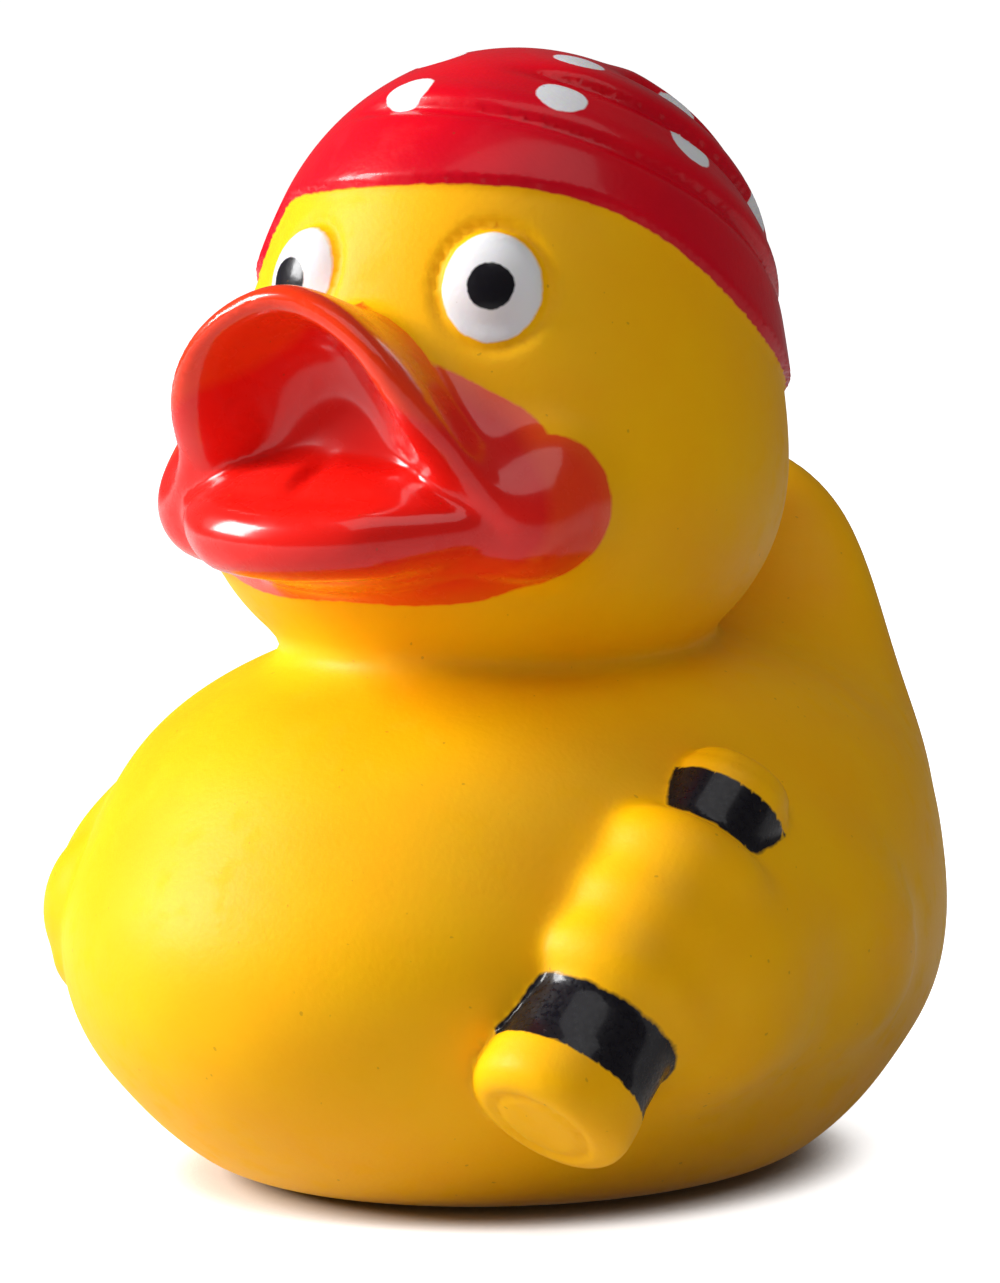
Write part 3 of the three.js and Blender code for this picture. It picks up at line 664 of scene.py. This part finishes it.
def sample(field, lines):
    """The field on the grid. Blocks of the grid that lie far from the skin take one value each."""
    count = [len(a) for a in lines]
    blocks = [-(-n // BLOCK) for n in count]
    middles = []
    for a, n in zip(lines, blocks):
        middles.append(np.array([a[k * BLOCK:(k + 1) * BLOCK].mean() for k in range(n)]))
    grid = np.meshgrid(*middles, indexing="ij")
    coarse = field(np.stack([g.ravel() for g in grid], 1)).reshape(blocks)
    values = coarse
    for axis in range(3):
        values = np.repeat(values, BLOCK, axis=axis)
    values = values[:count[0], :count[1], :count[2]].copy()
    near = np.argwhere(np.abs(values) < 2.2 * BLOCK * CELL)
    points = np.stack([lines[axis][near[:, axis]] for axis in range(3)], 1)
    parts = np.array_split(points, 1 + len(points) // POINTS_AT_ONCE)
    values[tuple(near.T)] = np.concatenate([field(part) for part in parts])
    return values


def skin_mesh(field, lines):
    """Points and four-sided faces of the skin: one point in each grid cell that it crosses."""
    values = sample(field, lines)
    inside = values < 0
    last = np.array(values.shape) - 1
    corners = [(a, b, c) for a in (0, 1) for b in (0, 1) for c in (0, 1)]
    total = np.zeros(last, int)
    for a, b, c in corners:
        total += inside[a:last[0] + a, b:last[1] + b, c:last[2] + c]
    crossed = (total > 0) & (total < 8)
    cells = np.argwhere(crossed)
    number = -np.ones(crossed.shape, int)
    number[crossed] = np.arange(len(cells))
    place = np.zeros((len(cells), 3))
    hits = np.zeros(len(cells))
    for corner in corners:
        for axis in range(3):
            if corner[axis]:
                continue
            other = list(corner)
            other[axis] = 1
            first, second = cells + corner, cells + other
            low, high = values[tuple(first.T)], values[tuple(second.T)]
            cut = (low < 0) != (high < 0)
            t = low[cut] / (low[cut] - high[cut])
            ends = [np.stack([lines[k][e[cut][:, k]] for k in range(3)], 1) for e in (first, second)]
            place[cut] += ends[0] + t[:, None] * (ends[1] - ends[0])
            hits[cut] += 1
    points = place / hits[:, None]
    faces = []
    for axis in range(3):
        across = [(1, 2), (2, 0), (0, 1)][axis]
        start, end = [slice(1, -1)] * 3, [slice(1, -1)] * 3
        start[axis], end[axis] = slice(0, -1), slice(1, None)
        edges = np.argwhere(inside[tuple(start)] != inside[tuple(end)])
        leaving = inside[tuple(start)][tuple(edges.T)]
        for k in range(3):
            if k != axis:
                edges[:, k] += 1
        ring = []
        for u, v in ((0, 0), (1, 0), (1, 1), (0, 1)):
            cell = edges.copy()
            cell[:, across[0]] -= u
            cell[:, across[1]] -= v
            ring.append(number[tuple(cell.T)])
        ring = np.stack(ring, 1)
        ring[~leaving] = ring[~leaving][:, ::-1]
        faces.append(ring)
    # The points settle onto the skin itself.
    for _ in range(SETTLING_ROUNDS):
        slope = slope_of(field, points)
        steepness = np.maximum((slope * slope).sum(1), 0.25)
        move = field(points)[:, None] * slope / steepness[:, None]
        length = np.linalg.norm(move, axis=1, keepdims=True)
        points = points - move * np.minimum(1, 0.45 * CELL / np.maximum(length, 1e-9))
    return points, np.concatenate(faces)


grid = [grid_lines(*GRID_ACROSS), grid_lines(*GRID_ALONG), grid_lines(*GRID_UP)]
points, faces = skin_mesh(skin_field, grid)
# The foot is truly flat.
points[np.abs(points[:, 2]) < FLAT_WITHIN, 2] = 0
skin = bpy.data.meshes.new("duck_skin")
skin.from_pydata((points / 1000).tolist(), [], faces.tolist())
skin.polygons.foreach_set("use_smooth", [True] * len(skin.polygons))
skin.update()

# Paint
# The colours are sprayed through masks and brushed on. Each mask is kept on the mesh as the
# distance inside its edge, in millimetres, so that the edge stays sharp between points.

# Half of the outline of the red on the bill, seen from in front: to the side, and up from the
# middle of the head
BILL_PAINT = [
    (0, 2.4), (1.5, 1.8), (2.9, 0.8), (5.8, -1.1), (8.4, -2.6), (11.7, -4.3), (14.1, -5.9), (16.6, -8.2),
    (17.9, -10.5), (18.2, -12.6), (17.6, -14.7), (16.5, -16.0), (15.0, -17.1), (12.8, -17.8), (9.7, -18.8),
    (6.4, -19.2), (2.9, -19.2), (0, -19.1),
]


def rounded(points, steps=6):
    """A smooth line through the points."""
    p = np.array([points[0]] + list(points) + [points[-1]], float)
    line = []
    for a, b, c, d in zip(p[:-3], p[1:-2], p[2:-1], p[3:]):
        for t in np.linspace(0, 1, steps, endpoint=False):
            line.append(
                b + 0.5 * t * (c - a + t * (2 * a - 5 * b + 4 * c - d + t * (3 * (b - c) + d - a)))
            )
    return np.array(line + [p[-1]])


def inside_outline(x, y, outline):
    """Distance inside a closed outline, negative outside."""
    best = np.full(len(x), 1e9)
    crossings = np.zeros(len(x), int)
    for (ax, ay), (bx, by) in zip(outline, np.roll(outline, -1, axis=0)):
        dx, dy = bx - ax, by - ay
        if dx == 0 and dy == 0:
            continue
        t = np.clip(((x - ax) * dx + (y - ay) * dy) / (dx * dx + dy * dy), 0, 1)
        best = np.minimum(best, np.hypot(x - ax - t * dx, y - ay - t * dy))
        if ay != by:
            crossings += ((ay > y) != (by > y)) & (x < dx * (y - ay) / dy + ax)
    return np.where(crossings % 2 == 1, best, -best)


def bill_mask(p):
    side, forward, up = in_bill(p).T
    half = rounded(BILL_PAINT)
    outline = np.concatenate([half, half[::-1] * (-1, 1)])
    painted = inside_outline(side, up, outline)
    standing = np.minimum(head_field(p) - 1.0, 0.9 - bill_field(p))
    chin = np.minimum(up + 20, forward - 6)
    return np.minimum(np.maximum(painted, standing), chin)


def scarf_mask(p):
    cloth = np.minimum(above_edge(p), 2.0 - head_field(p))
    return np.maximum(cloth, 0.25 - knot_field(p))


def eye_place(p):
    """Place on the eye: up, to the side, and out of it."""
    return (on_eye(p) - EYE_CENTRE) @ EYE_AXES.T


def white_mask(p):
    up, side, out = eye_place(p).T
    ring = np.hypot(up / EYE_RISE, side / EYE_HALF_WIDTH)
    return np.where(out > -3, (1 - ring) * EYE_HALF_WIDTH, -3)


def pupil_mask(p):
    up, side, out = eye_place(p).T
    return np.where(out > -3, PUPIL_RADIUS - np.hypot(up, side), -3)


def black_mask(p):
    up = along_glass(p)[1]
    length = SPYGLASS_LENGTH
    lower = np.minimum(up - 0.125 * length, 0.45 * length - up)
    upper = np.minimum(up - 0.6 * length, 0.91 * length - up)
    on_tube = 0.3 - spyglass_field(p)
    clear = np.minimum(np.minimum(fingers_field(p), palm_field(p)) - 0.25, body_field(p) + 0.2)
    return np.minimum(np.minimum(np.maximum(lower, upper), on_tube), clear)


for name, mask in (
    ("bill_paint", bill_mask),
    ("scarf_paint", scarf_mask),
    ("eye_white", white_mask),
    ("pupil", pupil_mask),
    ("spyglass_black", black_mask),
):
    kept = skin.attributes.new(name, "FLOAT", "POINT")
    kept.data.foreach_set("value", np.clip(mask(points), -3, 3).astype(np.float32))

duck = bpy.data.objects.new("duck_skin", skin)
scene.collection.objects.link(duck)

# Spots of the scarf
# White spots are printed over the red in rows. The tree lays rings of points round the crown,
# drops them onto the cloth, and keeps each mesh point's distance inside the nearest spot.

SPOT_RADIUS = 1.95
SPOT_LEAN = math.radians(7.1)
# Height above the plane of the scarf's edge, number of spots round the head, and turn of the
# first one, for each row
SPOT_ROWS = [
    (7.9, 9, -8.7),
    (13.4, 7, 32.2),
]


def spot_tree():
    tree = bpy.data.node_groups.new("scarf_spots", "GeometryNodeTree")
    face = tree.interface
    face.new_socket("Geometry", in_out="INPUT", socket_type="NodeSocketGeometry")
    face.new_socket("Spot Radius", in_out="INPUT", socket_type="NodeSocketFloat")
    face.new_socket("Paint", in_out="INPUT", socket_type="NodeSocketMaterial")
    face.new_socket("Geometry", in_out="OUTPUT", socket_type="NodeSocketGeometry")
    nodes, links = tree.nodes, tree.links
    given = nodes.new("NodeGroupInput")
    result = nodes.new("NodeGroupOutput")
    rows = nodes.new("GeometryNodeJoinGeometry")
    brow = Vector((0, 0, SCARF_BROW))
    slope = Matrix.Rotation(math.atan2(-SCARF_SLOPE, 1), 3, "X") @ Matrix.Rotation(-SPOT_LEAN, 3, "Y")
    for height, number, first in SPOT_ROWS:
        ring = nodes.new("GeometryNodeMeshCircle")
        ring.inputs["Vertices"].default_value = number
        ring.inputs["Radius"].default_value = 0.001
        centre = (brow + Vector(SCARF_UP) * height) / 1000
        turned = nodes.new("GeometryNodeTransform")
        ahead = math.radians(first - 90)
        turned.inputs["Rotation"].default_value = (0, 0, ahead)
        laid = nodes.new("GeometryNodeTransform")
        laid.inputs["Rotation"].default_value = slope.to_euler()
        laid.inputs["Translation"].default_value = centre
        links.new(ring.outputs["Mesh"], turned.inputs["Geometry"])
        links.new(turned.outputs["Geometry"], laid.inputs["Geometry"])
        axis = nodes.new("FunctionNodeInputVector")
        axis.vector = centre
        away = nodes.new("ShaderNodeVectorMath")
        away.operation = "SUBTRACT"
        where = nodes.new("GeometryNodeInputPosition")
        links.new(where.outputs[0], away.inputs[0])
        links.new(axis.outputs[0], away.inputs[1])
        hit = nodes.new("GeometryNodeRaycast")
        hit.inputs["Ray Length"].default_value = 0.1
        links.new(given.outputs["Geometry"], hit.inputs["Target Geometry"])
        links.new(axis.outputs[0], hit.inputs["Source Position"])
        links.new(away.outputs[0], hit.inputs["Ray Direction"])
        dropped = nodes.new("GeometryNodeSetPosition")
        links.new(laid.outputs["Geometry"], dropped.inputs["Geometry"])
        links.new(hit.outputs["Hit Position"], dropped.inputs["Position"])
        links.new(dropped.outputs["Geometry"], rows.inputs["Geometry"])
    near = nodes.new("GeometryNodeProximity")
    near.target_element = "POINTS"
    links.new(rows.outputs["Geometry"], near.inputs[0])
    inside = nodes.new("ShaderNodeMath")
    inside.operation = "SUBTRACT"
    links.new(given.outputs["Spot Radius"], inside.inputs[0])
    links.new(near.outputs["Distance"], inside.inputs[1])
    scaled = nodes.new("ShaderNodeMath")
    scaled.operation = "MULTIPLY"
    scaled.inputs[1].default_value = 1000
    links.new(inside.outputs[0], scaled.inputs[0])
    kept = nodes.new("GeometryNodeStoreNamedAttribute")
    kept.data_type = "FLOAT"
    kept.domain = "POINT"
    kept.inputs["Name"].default_value = "spots"
    links.new(given.outputs["Geometry"], kept.inputs["Geometry"])
    links.new(scaled.outputs[0], kept.inputs["Value"])
    real = nodes.new("GeometryNodeRealizeInstances")
    links.new(kept.outputs["Geometry"], real.inputs["Geometry"])
    painted = nodes.new("GeometryNodeSetMaterial")
    links.new(real.outputs["Geometry"], painted.inputs["Geometry"])
    links.new(given.outputs["Paint"], painted.inputs["Material"])
    links.new(painted.outputs["Geometry"], result.inputs["Geometry"])
    return tree


def socket_named(tree, name):
    return next(s.identifier for s in tree.interface.items_tree if s.name == name and s.in_out == "INPUT")


# Painted vinyl
# Soft yellow vinyl with a satin skin that lets a little light in. The red of the bill is a glossy
# spray that is thinnest at its edges, the scarf and eyes are satin, and the black of the spyglass
# is brushed on unevenly.

YELLOW = (0.96, 0.49, 0.0, 1)
DEEP_YELLOW = (0.94, 0.435, 0.0, 1)
SCARF_RED = (0.70, 0.0, 0.010, 1)
DEEP_SCARF_RED = (0.56, 0.0, 0.012, 1)
BILL_RED = (0.78, 0.010, 0.006, 1)
THIN_BILL_RED = (0.86, 0.075, 0.003, 1)
WHITE = (0.80, 0.80, 0.82, 1)
BLACK = (0.006, 0.005, 0.008, 1)
GRIME = (0.16, 0.07, 0.01, 1)
# Blotches to the metre of each unevenness
RIPPLE = 160.0
MOTTLING = 90.0
SCUFFS = 420.0
EDGE_WANDER = 900.0
SPECKS = 1900.0
GRAIN = 2400.0
BRUSH_MARKS = 2600.0

vinyl, nodes, links = new_material("painted_vinyl")
shader = nodes["Principled BSDF"]
shader.inputs["Subsurface Weight"].default_value = 0.15
shader.inputs["Subsurface Radius"].default_value = (1.0, 0.4, 0.05)
shader.inputs["Subsurface Scale"].default_value = 0.003
shader.inputs["IOR"].default_value = 1.5
shader.inputs["Specular IOR Level"].default_value = 0.14
shader.inputs["Coat Roughness"].default_value = 0.12
on_object = nodes.new("ShaderNodeTexCoord").outputs["Object"]


def noise(scale, detail=2.0):
    """Cloudy noise over the object."""
    texture = nodes.new("ShaderNodeTexNoise")
    texture.inputs["Scale"].default_value = scale
    texture.inputs["Detail"].default_value = detail
    links.new(on_object, texture.inputs["Vector"])
    return texture.outputs["Fac"]


def spread(value, low, high, to_low=0.0, to_high=1.0):
    ramp = nodes.new("ShaderNodeMapRange")
    for name, number in (("From Min", low), ("From Max", high), ("To Min", to_low), ("To Max", to_high)):
        ramp.inputs[name].default_value = number
    links.new(value, ramp.inputs["Value"])
    return ramp.outputs["Result"]


def combine(operation, a, b):
    step = nodes.new("ShaderNodeMath")
    step.operation = operation
    for socket, value in zip(step.inputs, (a, b)):
        if isinstance(value, float):
            socket.default_value = value
        else:
            links.new(value, socket)
    return step.outputs[0]


def layer(name):
    """Millimetres inside the edge of a painted shape."""
    mask = nodes.new("ShaderNodeAttribute")
    mask.attribute_name = name
    return mask.outputs["Fac"]


def blend_of(kind, below, mask, above):
    """Mixes a colour or a value over another one through a mask."""
    mix = nodes.new("ShaderNodeMix")
    mix.data_type = kind
    a, b = [s for s in mix.inputs if s.enabled and s.name in ("A", "B")]
    links.new(mask, next(s for s in mix.inputs if s.enabled and s.name == "Factor"))
    for socket, value in ((a, below), (b, above)):
        if isinstance(value, (tuple, float)):
            socket.default_value = value
        else:
            links.new(value, socket)
    return next(s for s in mix.outputs if s.enabled)


edge_wander = spread(noise(EDGE_WANDER), 0.3, 0.7, -0.05, 0.05)
masks = {}
for name in ("scarf_paint", "spots", "eye_white", "pupil", "bill_paint", "spyglass_black"):
    masks[name] = spread(combine("ADD", layer(name), edge_wander), -0.08, 0.08)
masks["spots"] = combine("MULTIPLY", masks["spots"], masks["scarf_paint"])

mottling = spread(noise(MOTTLING, 4.0), 0.35, 0.7)
specks = spread(noise(SPECKS, 0.0), 0.85, 0.885, 0.0, 0.3)
scuffs = spread(noise(SCUFFS, 5.0), 0.52, 0.68)
brush_marks = noise(BRUSH_MARKS, 1.0)
bill_film = spread(combine("ADD", layer("bill_paint"), edge_wander), 0.0, 1.6)
colour = blend_of("RGBA", YELLOW, mottling, DEEP_YELLOW)
scarf_colour = blend_of("RGBA", SCARF_RED, mottling, DEEP_SCARF_RED)
bill_colour = blend_of("RGBA", THIN_BILL_RED, bill_film, BILL_RED)
colour = blend_of("RGBA", colour, masks["scarf_paint"], scarf_colour)
colour = blend_of("RGBA", colour, masks["spots"], WHITE)
colour = blend_of("RGBA", colour, masks["eye_white"], WHITE)
colour = blend_of("RGBA", colour, masks["pupil"], BLACK)
colour = blend_of("RGBA", colour, masks["bill_paint"], bill_colour)
colour = blend_of("RGBA", colour, masks["spyglass_black"], BLACK)
colour = blend_of("RGBA", colour, specks, GRIME)
links.new(colour, shader.inputs["Base Color"])

rough = blend_of("FLOAT", 0.48, scuffs, 0.6)
rough = blend_of("FLOAT", rough, masks["scarf_paint"], blend_of("FLOAT", 0.33, scuffs, 0.46))
rough = blend_of("FLOAT", rough, masks["spots"], 0.5)
rough = blend_of("FLOAT", rough, masks["eye_white"], blend_of("FLOAT", 0.3, scuffs, 0.45))
rough = blend_of("FLOAT", rough, masks["bill_paint"], blend_of("FLOAT", 0.26, scuffs, 0.36))
rough = blend_of("FLOAT", rough, masks["spyglass_black"], spread(brush_marks, 0.3, 0.7, 0.2, 0.5))
links.new(rough, shader.inputs["Roughness"])

gloss = blend_of("FLOAT", 0.0, masks["scarf_paint"], 0.2)
gloss = blend_of("FLOAT", gloss, masks["spots"], 0.05)
gloss = blend_of("FLOAT", gloss, masks["eye_white"], 0.35)
gloss = blend_of("FLOAT", gloss, masks["bill_paint"], blend_of("FLOAT", 0.6, scuffs, 0.45))
gloss = blend_of("FLOAT", gloss, masks["spyglass_black"], 0.3)
links.new(gloss, shader.inputs["Coat Weight"])

grain = blend_of("FLOAT", noise(GRAIN, 1.0), masks["bill_paint"], 0.5)
ripple = spread(noise(RIPPLE), 0.0, 1.0, 0.0, 0.8)
film = combine("MULTIPLY", masks["scarf_paint"], 1.2)
film = combine("ADD", film, combine("MULTIPLY", masks["spots"], 0.6))
film = combine("ADD", film, combine("MULTIPLY", masks["eye_white"], 1.0))
film = combine("ADD", film, combine("MULTIPLY", masks["bill_paint"], 1.2))
film = combine("ADD", film, combine("MULTIPLY", masks["spyglass_black"], brush_marks))
relief = nodes.new("ShaderNodeBump")
relief.inputs["Strength"].default_value = 0.35
relief.inputs["Distance"].default_value = 0.00005
links.new(combine("ADD", combine("ADD", grain, ripple), film), relief.inputs["Height"])
links.new(relief.outputs["Normal"], shader.inputs["Normal"])

tree = spot_tree()
skin.materials.append(vinyl)
printing = duck.modifiers.new("spots", "NODES")
printing.node_group = tree
printing[socket_named(tree, "Spot Radius")] = SPOT_RADIUS / 1000
printing[socket_named(tree, "Paint")] = vinyl
depsgraph = bpy.context.evaluated_depsgraph_get()
printed = bpy.data.meshes.new_from_object(duck.evaluated_get(depsgraph), depsgraph=depsgraph)
duck.modifiers.clear()
duck.data = printed
printed.name = "duck_skin"

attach(duck, "root")
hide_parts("duck")
